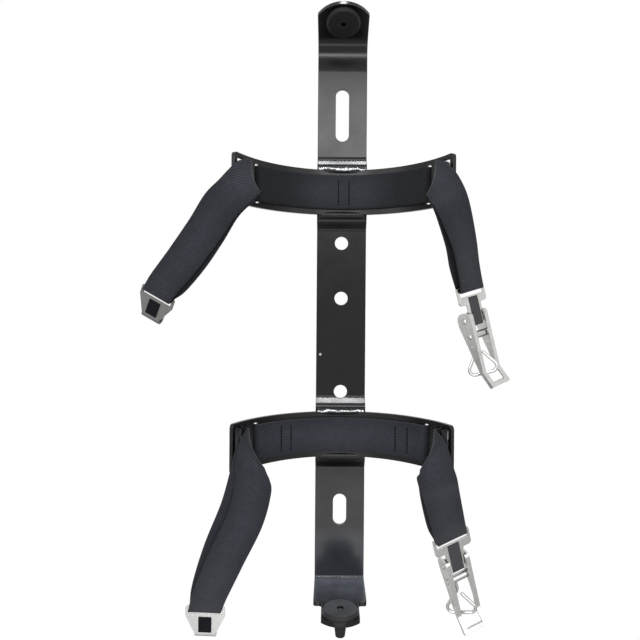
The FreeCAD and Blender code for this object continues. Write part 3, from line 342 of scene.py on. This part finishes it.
def moulded_rubber(name, dimple, ring, width):
    """Black moulded rubber: dry bloom, a film of dust and painted sheen on top, painted shade in its
    dimple.

    The painted shade lies within a width of the ring about the dimple's middle; a ring of 0 is a plain
    spot.
    """
    f = Finish(name)
    where = f.place()
    bloom = f.noise(where, scale=140, detail=5)
    black = f.blend(bloom, (0.007, 0.007, 0.0075), (0.016, 0.016, 0.017))
    # Dust and painted sheen on the rubber's upward faces.
    black = f.dust_and_sheen_on_top(black, (0.085, 0.088, 0.098), where)
    fine = f.noise(where, scale=1600, detail=2)
    # Painted shade in the dimple: near black in a spot or ring about its middle.
    off_ring = f.math("ABSOLUTE", f.math("SUBTRACT", f.distance(where, dimple), ring * MM))
    dimple_shade = f.spread(off_ring, (width * MM, (width + 0.5) * MM), (1, 0))
    return f.surface(
        colour=f.blend(dimple_shade, black, (0.0006, 0.0006, 0.0006)),
        roughness=f.vary(bloom, 0.42, 0.6),
        specular=f.spread(dimple_shade, (0, 1), (0.2, 0)),
        normal=f.bump(fine, 0.03 * MM, strength=0.5, over=f.soft_edges(0.4 * MM)))


def twill_webbing(name):
    """Dark blue-grey twill on the strap's own map, with painted shade at its edges and in its folds.

    At the upper cradle's two sides, painted shade makes the webbing darker still.
    """
    f = Finish(name)
    across, along, _ = f.axes(f.add("UVMap", uv_map="strap").outputs["UV"])
    slanted = f.math("ADD", f.math("MULTIPLY", across, CORD_SLANT), along)
    cord = f.math("SINE", f.math("MULTIPLY", slanted, 2 * math.pi / (CORD_PITCH * MM)))
    rib = f.math("SINE", f.math("MULTIPLY", across, 2 * math.pi / (RIB_PITCH * MM)))
    weave = f.math("ADD", f.math("MULTIPLY", cord, 0.62), f.math("MULTIPLY", rib, 0.38))
    level = f.spread(weave, (-1, 1), (0, 1))
    yarn = f.blend(level, HOLLOW_YARN, CORD_YARN)
    where = f.place()
    slub = f.spread(f.noise(where, scale=260, detail=3), (0.35, 0.75), (0, 0.4))
    tone = f.blend(slub, yarn, (0.052, 0.056, 0.07))
    cloud = f.vary(f.noise(where, scale=26, detail=2), 0, 0.35)
    tone = f.blend(cloud, tone, (0.009, 0.01, 0.014))
    # Painted shade towards the edges, for the webbing's rounded section.
    painted_edge_shade = f.spread(f.math("ABSOLUTE", across), (3 * MM, 12 * MM), (0, 0.5))
    tone = f.blend(painted_edge_shade, tone, (0.009, 0.01, 0.013))
    right, toward_wall, height = f.axes(where)
    # Painted shade at the upper cradle's two sides, darker still.
    beside = f.spread(f.math("ABSOLUTE", right), SHADED_SIDE, (0.25, 1))
    in_cradle = f.spread(toward_wall, SHADED_DEPTH, (0, 1))
    upper_one = f.spread(height, SHADED_HEIGHT, (0, 1))
    at_side = f.math("MULTIPLY", beside, in_cradle)
    painted_side_shade = f.math("MULTIPLY", at_side, f.math("MULTIPLY", upper_one, 0.85))
    tone = f.blend(painted_side_shade, tone, (0.004, 0.0045, 0.006))
    # Painted shade in folds and where layers and bars lie close.
    occlusion = f.add("AmbientOcclusion", {"Distance": 12 * MM}, samples=8)
    painted_fold_shade = f.spread(occlusion.outputs["AO"], (0.15, 0.8), (0.9, 0))
    return f.surface(
        colour=f.blend(painted_fold_shade, tone, (0.0015, 0.0015, 0.002)),
        roughness=0.8,
        specular=0.25,
        sheen=0.12,
        sheen_roughness=0.4,
        normal=f.bump(level, 0.18 * MM, strength=0.9))


def sewing_thread(name):
    """Dark thread, twisted."""
    f = Finish(name)
    twist = f.noise(f.place(), scale=2500, detail=2)
    return f.surface(
        colour=f.blend(twist, (0.002, 0.002, 0.003), (0.008, 0.008, 0.011)),
        roughness=0.7,
        specular=0.1,
        normal=f.bump(twist, 0.05 * MM, strength=0.6))


def bright_zinc(name, tone, roughness):
    """Bright zinc plate on pressed steel: cloudy, finely rubbed, with a painted dark reflection at a
    glancing angle.
    """
    f = Finish(name)
    where = f.place()
    cloud = f.noise(where, scale=160, detail=5)
    marks = f.noise(where, scale=1800, detail=2)
    light = (tone, tone, tone * 0.985)
    dull = (tone * 0.8, tone * 0.79, tone * 0.765)
    painted_dark_reflection = (tone * 0.3, tone * 0.3, tone * 0.285)
    plated = f.blend(f.vary(cloud, 0, 1), dull, light)
    # A painted dark reflection: the colour darkens at a glancing angle.
    turned = f.add("LayerWeight", {"Blend": 0.35}).outputs["Facing"]
    return f.surface(
        colour=f.blend(f.spread(turned, (0.1, 0.75), (0, 0.85)), plated, painted_dark_reflection),
        metal=1,
        roughness=f.vary(cloud, roughness + 0.12, roughness - 0.04),
        normal=f.bump(marks, 0.03 * MM, strength=0.5, over=f.soft_edges(0.3 * MM)))


def plain_pad(name):
    """A black pad, slightly grained."""
    f = Finish(name)
    grain = f.noise(f.place(), scale=900, detail=3)
    return f.surface(
        colour=f.blend(grain, (0.006, 0.0055, 0.007), (0.02, 0.018, 0.023)),
        roughness=0.55,
        specular=0.02,
        normal=f.bump(grain, 0.05 * MM, strength=0.6))


def take_only(piece):
    """Select one piece alone and make it the one that is worked on."""
    bpy.ops.object.select_all(action="DESELECT")
    piece.select_set(True)
    bpy.context.view_layer.objects.active = piece


def tab_dimple():
    """Middle of the dimple in the bumper that sits under the leaning tab."""
    lean = math.radians(TAB_LEAN)
    depth = PLATE + TAB_REACH * math.sin(lean) + DIMPLE_RISE * math.cos(lean)
    corner = TAB_CORNER - PLATE * math.tan(lean / 2)
    height = corner + TAB_REACH * math.cos(lean) - DIMPLE_RISE * math.sin(lean)
    return (0, -depth * MM, height * MM)


def paint_nodes():
    """Give every CAD node its finish, also the webbing and latch pads that are replaced further on."""
    foot_dimple = (0, -FOOT_BUMPER_DEPTH * MM, (DIMPLE_RISE - FOOT_DROP) * MM)
    band = black_paint("black_painted_cradle", 0.3, CRADLE_BLACK)
    plate = bright_zinc("zinc_plate", 0.76, 0.22)
    lever = bright_zinc("zinc_lever", 0.76, 0.3)
    pin = bright_zinc("zinc_pin", 0.66, 0.26)
    wire = bright_zinc("zinc_wire", 0.74, 0.16)
    pad = plain_pad("black_pad")
    finishes = {
        "backbone": black_paint("black_painted_steel", 0.2, STRAP_BLACK, strap_marks, STRAP_BENDS),
        "top_bumper": moulded_rubber("top_bumper_rubber", tab_dimple(), 0.0, 1.5),
        "bottom_bumper": moulded_rubber("foot_bumper_rubber", foot_dimple, 2.0, 0.2),
        "upper_cradle_welds": weld_paint("painted_upper_weld", UPPER_HEIGHT + WELD_RISE),
        "lower_cradle_welds": weld_paint("painted_lower_weld", LOWER_HEIGHT + WELD_RISE),
        # The hook plates are one part: the upper is a dark painted-shade copy, the lower a bright
        # painted-light copy.
        "upper_hook_plate": bright_zinc("shaded_hook_zinc", 0.22, 0.3),
        "lower_hook_plate": bright_zinc("lit_hook_zinc", 0.84, 0.24),
    }
    for end in ("upper_", "lower_"):
        finishes.update({
            end + "cradle": band, end + "webbing": pad, end + "hook_pad": pad,
            end + "latch_plate": plate, end + "latch_pad": pad, end + "lever": lever,
            end + "lever_pin": pin, end + "bail_pin": pin, end + "bail_barrel": pin, end + "bail": wire,
        })
    for node, finish in finishes.items():
        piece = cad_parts[node]
        piece.data.materials.clear()
        piece.data.materials.append(finish)
        take_only(piece)
        bpy.ops.object.shade_smooth_by_angle(angle=math.radians(SMOOTH_ANGLE))
    bpy.ops.object.select_all(action="DESELECT")


paint_nodes()

# Middle line of each hanging loop from its window to its bar: x, depth, z, slope of the width,
# twist of the width, gap between the layers' middles, and how far the back layer lies to the right.
LOOPS = {
    "upper_hook": [
        (-64.1, 57.5, 94.7, 80, 0, 5.4, 0),
        (-64.6, 64.0, 92.4, 52, 0, 3.8, 0),
        (-71.4, 66.0, 84.4, 39, 0, 2.4, 0.5),
        (-82.5, 60.5, 75.5, 37.5, 0, 2.5, 1.2),
        (-96.1, 47.0, 60.7, 37, 0, 3.7, 2.0),
        (-111.9, 38.0, 42.3, 36, -5, 4.7, 2.8),
        (-130.3, 22.5, 25.4, 32, -10, 5.1, 3.0),
    ],
    "lower_hook": [
        (-64.1, 57.5, -89.0, 77, 0, 6.0, 0),
        (-60.6, 64.0, -91.5, 53, 0, 4.4, -0.5),
        (-58.8, 66.0, -100.0, 28, 0, 3.0, -2.5),
        (-58.8, 60.5, -112.5, 20, 0, 3.0, -5.5),
        (-65.2, 52.0, -137.1, 23, 0, 4.7, -7.0),
        (-80.2, 42.0, -169.3, 22, 0, 5.7, -5.5),
        (-95.2, 23.0, -203.6, 10, -1, 5.3, -2.5),
    ],
    "upper_latch": [
        (64.1, 57.5, 94.7, -83, 0, 5.6, 0),
        (62.8, 64.0, 92.0, -60, 0, 4.0, 0),
        (66.8, 66.0, 85.5, -38, 6, 2.4, 0),
        (72.0, 66.0, 74.5, -24, 18, 2.7, -0.5),
        (81.6, 52.0, 53.5, -17, 34, 4.7, -1.5),
        (88.6, 35.5, 38.0, -16, 38, 6.0, -2.0),
    ],
    "lower_latch": [
        (64.3, 57.5, -89.0, -77, 0, 6.4, 0),
        (61.4, 64.0, -91.5, -53, 0, 4.6, 0),
        (61.2, 66.0, -99.5, -26, 2, 2.4, 0),
        (64.2, 64.5, -108.5, -15, 3, 2.7, -0.5),
        (69.1, 52.0, -123.0, -16, 6, 3.7, -1.5),
        (76.0, 38.5, -146.0, -17, 14, 5.1, -1.5),
    ],
}

# Each bar: place (x, depth, z) and its lean, pitch and twist in degrees.
BARS = {
    "upper_hook": ((-138.9, 13.0, 17.1), (23.8, 14.7, -14.1)),
    "lower_hook": ((-102.3, 10.0, -223.1), (0.6, 1.7, -2.3)),
    "upper_latch": ((96.1, 18.0, 23.4), (-14.1, 2.0, 34.5)),
    "lower_latch": ((81.1, 27.0, -159.2), (-14.4, 10.3, 17.1)),
}

# The sling's way through its cradle: angle from the middle in degrees, offset from the inner radius
# and gap between the layers' middles, which open where they leave the window.
WAY = [
    (0, LINING, CLOSE), (15, LINING, CLOSE), (30, LINING, CLOSE), (40, LINING, CLOSE),
    (45, LINING, CLOSE), (48.0, -1.9, CLOSE), (49.7, 1.25, CLOSE), (50.3, 3.2, CLOSE),
    (52.4, 4.45, CLOSE), (54.4, 4.6, CLOSE), (56.8, 4.8, 2.2), (59.2, 3.9, 4.0),
    (60.2, 1.25, 5.6), (60.2, -2.2, 5.8),
]

# Half the webbing's section: share of the half width, and share of a layer's thickness that the
# face stands off the middle, with a thicker woven edge on both sides.
EDGE_PROFILE = (
    (-1, 0.30), (-0.955, 0.52), (-0.88, 0.5), (-0.5, 0.46), (0, 0.45),
    (0.5, 0.46), (0.88, 0.5), (0.955, 0.52), (1, 0.30),
)

# A sling's path: from one sample to the next, and steps of the half turn round a bar.
PATH_STEP = 2.0
EYE_STEPS = 10


def round_cradle(angle, offset, height):
    """Place at an angle from a cradle's middle, offset outward from its inner radius."""
    swing = math.radians(angle)
    reach = CRADLE_RADIUS + offset
    return Vector((reach * math.sin(swing), reach * math.cos(swing) - AXIS_DEPTH, height))


def bar_place(loop):
    """The middle of a bar."""
    (x, depth, z), _ = BARS[loop]
    return Vector((x, -depth, z))


def bar_turn(loop):
    """A bar's turn: twisted about Z, then pitched about X, then leaned about Y."""
    lean, pitch, twist = (math.radians(angle) for angle in BARS[loop][1])
    return Matrix.Rotation(lean, 3, "Y") @ Matrix.Rotation(pitch, 3, "X") @ Matrix.Rotation(twist, 3, "Z")


def width_way(slope, twist):
    """Unit vector across a strap from its left edge to its right edge, seen from the front."""
    slope, twist = math.radians(slope), math.radians(twist)
    return Vector((math.cos(twist) * math.cos(slope), math.sin(twist), -math.cos(twist) * math.sin(slope)))


def half_sling(side, height, loop):
    """Stations from a cradle's middle to a bar: place, width way, gap and shift of the back layer."""
    upright = Vector((0, 0, 1))
    stations = [(round_cradle(side * angle, offset, height), upright, gap, 0) for angle, offset, gap in WAY]
    for x, depth, z, slope, twist, gap, aside in LOOPS[loop]:
        stations.append((Vector((x, -depth, z)), width_way(slope, twist) * side, gap, aside * side))
    stations.append((bar_place(loop), bar_turn(loop) @ Vector((side, 0, 0)), 2 * EYE, 0))
    return stations


def smooth_path(stations):
    """Stations resampled along a Catmull-Rom curve at about PATH_STEP."""
    found = []
    last = len(stations) - 1
    for index in range(last):
        before = stations[max(index - 1, 0)]
        here, there = stations[index], stations[index + 1]
        after = stations[min(index + 2, last)]
        pieces = max(2, round((there[0] - here[0]).length / PATH_STEP))
        for piece in range(pieces):
            t = piece / pieces
            weights = (
                -0.5 * t + t ** 2 - 0.5 * t ** 3,
                1 - 2.5 * t ** 2 + 1.5 * t ** 3,
                0.5 * t + 2 * t ** 2 - 1.5 * t ** 3,
                -0.5 * t ** 2 + 0.5 * t ** 3)
            place, width, gap, aside = Vector(), Vector(), 0.0, 0.0
            for weight, station in zip(weights, (before, here, there, after)):
                place += station[0] * weight
                width += station[1] * weight
                gap += station[2] * weight
                aside += station[3] * weight
            found.append((place, width, gap, aside))
    found.append(stations[last])
    return found


def round_bar(place, outward, normal, across):
    """The half turn of the webbing round a bar, from the layer on the normal's side to the other."""
    arc = []
    for step in range(1, EYE_STEPS):
        swing = math.pi * step / EYE_STEPS
        direction = normal * math.cos(swing) + outward * math.sin(swing)
        arc.append((place + direction * EYE, direction, across))
    return arc


def endless_sling(height, hook, latch):
    """Closed path of the sling: for each sample its place, outward normal and width direction."""
    left = half_sling(-1, height, hook)
    right = half_sling(1, height, latch)
    spine = smooth_path(left[::-1] + right[1:])
    last = len(spine) - 1
    front, back = [], []
    for index, (place, width, gap, aside) in enumerate(spine):
        across = width.normalized()
        along = spine[min(index + 1, last)][0] - spine[max(index - 1, 0)][0]
        along = (along - across * along.dot(across)).normalized()
        normal = along.cross(across)
        front.append((place + normal * gap / 2, normal, across))
        back.append((place - normal * gap / 2 + across * aside, -normal, across))
    past_latch = (spine[last][0] - spine[last - 1][0]).normalized()
    past_hook = (spine[0][0] - spine[1][0]).normalized()
    _, latch_normal, latch_across = front[last]
    _, hook_normal, hook_across = front[0]
    return (
        front + round_bar(spine[last][0], past_latch, latch_normal, latch_across)
        + back[::-1] + round_bar(spine[0][0], past_hook, -hook_normal, hook_across))


def strap_section():
    """The webbing's section as a closed ring of points: place across it and offset off its middle."""
    half = WEBBING_WIDTH / 2
    top = [(half * across, LAYER * rise) for across, rise in EDGE_PROFILE]
    low = [(half * across, -LAYER * rise) for across, rise in reversed(EDGE_PROFILE)]
    return top + low


def weave_sling(name, height, hook, latch, body, node):
    """Sweep the webbing's section round the sling and map it across and along."""
    path = endless_sling(height, hook, latch)
    section = strap_section()
    rows, ring = len(path), len(section)
    verts = [(place + across * a + normal * b) * MM for place, normal, across in path for a, b in section]
    lengths = [0.0]
    for before, after in zip(path, path[1:] + path[:1]):
        lengths.append(lengths[-1] + (after[0] - before[0]).length)
    faces, maps = [], []
    for row in range(rows):
        this, following = row * ring, (row + 1) % rows * ring
        v0, v1 = lengths[row], lengths[row + 1]
        for column in range(ring):
            beside = (column + 1) % ring
            faces.append((this + column, this + beside, following + beside, following + column))
            u0, u1 = section[column][0], section[beside][0]
            maps.append(((u0, v0), (u1, v0), (u1, v1), (u0, v1)))
    mesh = bpy.data.meshes.new(name)
    mesh.from_pydata(verts, [], faces)
    layer = mesh.uv_layers.new(name="strap")
    for polygon, corners in zip(mesh.polygons, maps):
        for loop, (u, v) in zip(polygon.loop_indices, corners):
            layer.data[loop].uv = (u * MM, v * MM)
    piece = bpy.data.objects.new(name, mesh)
    bpy.context.scene.collection.objects.link(piece)
    take_only(piece)
    bpy.ops.object.mode_set(mode="EDIT")
    bpy.ops.mesh.select_all(action="SELECT")
    bpy.ops.mesh.normals_make_consistent(inside=False)
    bpy.ops.object.mode_set(mode="OBJECT")
    bpy.ops.object.shade_smooth()
    piece.select_set(False)
    mesh.materials.append(webbing_finish)
    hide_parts(node)
    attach(piece, body)


webbing_finish = twill_webbing("twill_webbing")
thread_finish = sewing_thread("sewing_thread")
weave_sling("upper_sling", UPPER_HEIGHT, "upper_hook", "upper_latch", "bracket", "upper_webbing")
weave_sling("lower_sling", LOWER_HEIGHT, "lower_hook", "lower_latch", "bracket", "lower_webbing")


def plate_block(name, loop, body, slot, size, replaces=None):
    """A flat block on a plate: its front face, drawn upright, is extruded back towards the wall.

    The finish that it takes has the name of its slot.
    """
    half_width, top, low, front, back = size
    bpy.ops.object.select_all(action="DESELECT")
    bpy.ops.mesh.primitive_plane_add(size=MM, rotation=(math.radians(90), 0, 0))
    bpy.ops.object.transform_apply()
    piece = bpy.context.object
    piece.name = name
    bpy.ops.object.mode_set(mode="EDIT")
    bpy.ops.transform.resize(value=(2 * half_width, 1, low - top))
    bpy.ops.transform.translate(value=(0, front * MM, -(top + low) / 2 * MM))
    bpy.ops.mesh.extrude_region_move(TRANSFORM_OT_translate={"value": (0, (back - front) * MM, 0)})
    bpy.ops.mesh.select_all(action="SELECT")
    bpy.ops.mesh.normals_make_consistent(inside=False)
    bpy.ops.object.mode_set(mode="OBJECT")
    piece.matrix_world = Matrix.Translation(bar_place(loop) * MM) @ bar_turn(loop).to_4x4()
    bpy.ops.object.transform_apply()
    piece.data.materials.append(bpy.data.materials[slot])
    piece.select_set(False)
    if replaces:
        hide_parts(replaces)
    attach(piece, body)


for end in ("upper", "lower"):
    latch = end + "_latch"
    plate_block(end + "_tongue", latch, latch, "zinc_plate", TONGUE)
    plate_block(end + "_long_pad", latch, latch, "black_pad", LONG_PAD, end + "_latch_pad")


def stitch_rows(name, height, places, body):
    """Rows of short thread stitches standing on the sling's face, at angles round the cradle."""
    bpy.ops.object.select_all(action="DESELECT")
    bpy.ops.mesh.primitive_uv_sphere_add(segments=8, ring_count=6, radius=STITCH_RADIUS * MM)
    first = bpy.context.object
    first.scale.z = STITCH_STRETCH
    for angle in places:
        for step in range(STITCHES):
            rise = ROW_HALF_HEIGHT * (2 * (step + 0.5) / STITCHES - 1)
            stitch = first.copy()
            stitch.data = first.data.copy()
            stitch.location = round_cradle(angle, LINING - LAYER, height + rise) * MM
            bpy.context.scene.collection.objects.link(stitch)
            stitch.select_set(True)
            bpy.context.view_layer.objects.active = stitch
    bpy.data.objects.remove(first)
    bpy.ops.object.join()
    bpy.ops.object.transform_apply()
    row = bpy.context.object
    row.name = name
    row.data.materials.append(thread_finish)
    bpy.ops.object.shade_smooth()
    row.select_set(False)
    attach(row, body)


stitch_rows("upper_stitches", UPPER_HEIGHT - UPPER_ROW_DROP, UPPER_ROWS, "bracket")
stitch_rows("lower_stitches", LOWER_HEIGHT, LOWER_ROWS, "bracket")


def set_world():
    """White all round for what the camera, gloss and glass see, and a softer level of light."""
    world = bpy.data.worlds.new("studio")
    bpy.context.scene.world = world
    world.use_nodes = True
    nodes, links = world.node_tree.nodes, world.node_tree.links
    nodes.clear()
    path = nodes.new("ShaderNodeLightPath")
    seen = path.outputs["Is Camera Ray"]
    for ray in ("Is Glossy Ray", "Is Transmission Ray"):
        either = nodes.new("ShaderNodeMath")
        either.operation = "MAXIMUM"
        links.new(seen, either.inputs[0])
        links.new(path.outputs[ray], either.inputs[1])
        seen = either.outputs[0]
    mix = nodes.new("ShaderNodeMixShader")
    links.new(seen, mix.inputs["Fac"])
    for socket, colour, strength in ((1, (0.96, 0.98, 1, 1), WORLD_LEVEL), (2, (1, 1, 1, 1), 1)):
        background = nodes.new("ShaderNodeBackground")
        background.inputs["Color"].default_value = colour
        background.inputs["Strength"].default_value = strength
        links.new(background.outputs[0], mix.inputs[socket])
    out = nodes.new("ShaderNodeOutputWorld")
    links.new(mix.outputs[0], out.inputs["Surface"])


def set_floor():
    """A plain pale floor well below the bracket, short of the photograph's frame."""
    bpy.ops.mesh.primitive_plane_add(size=1, location=(0, FLOOR_BACK - FLOOR_DEPTH / 2, FLOOR_HEIGHT))
    floor = bpy.context.object
    floor.name = "floor"
    floor.scale = (FLOOR_WIDTH, FLOOR_DEPTH, 1)
    bpy.ops.object.transform_apply()
    f = Finish("pale_floor")
    faint = f.noise(f.place(), scale=6, detail=2)
    floor.data.materials.append(f.surface(
        colour=f.blend(faint, (0.8, 0.8, 0.8), (0.84, 0.84, 0.84)), roughness=0.6))
    bpy.ops.object.select_all(action="DESELECT")


def soft_lamp(name, place, aim, size, power):
    """A rectangular lamp that faces its aim."""
    data = bpy.data.lights.new(name, "AREA")
    data.shape = "RECTANGLE"
    data.size, data.size_y = size
    data.energy = power
    lamp = bpy.data.objects.new(name, data)
    lamp.location = place
    lamp.rotation_euler = (Vector(aim) - Vector(place)).to_track_quat("-Z", "Y").to_euler()
    bpy.context.scene.collection.objects.link(lamp)


set_world()
set_floor()
for lamp_facts in LAMPS:
    soft_lamp(*lamp_facts)

bpy.context.scene.view_settings.view_transform = "Standard"
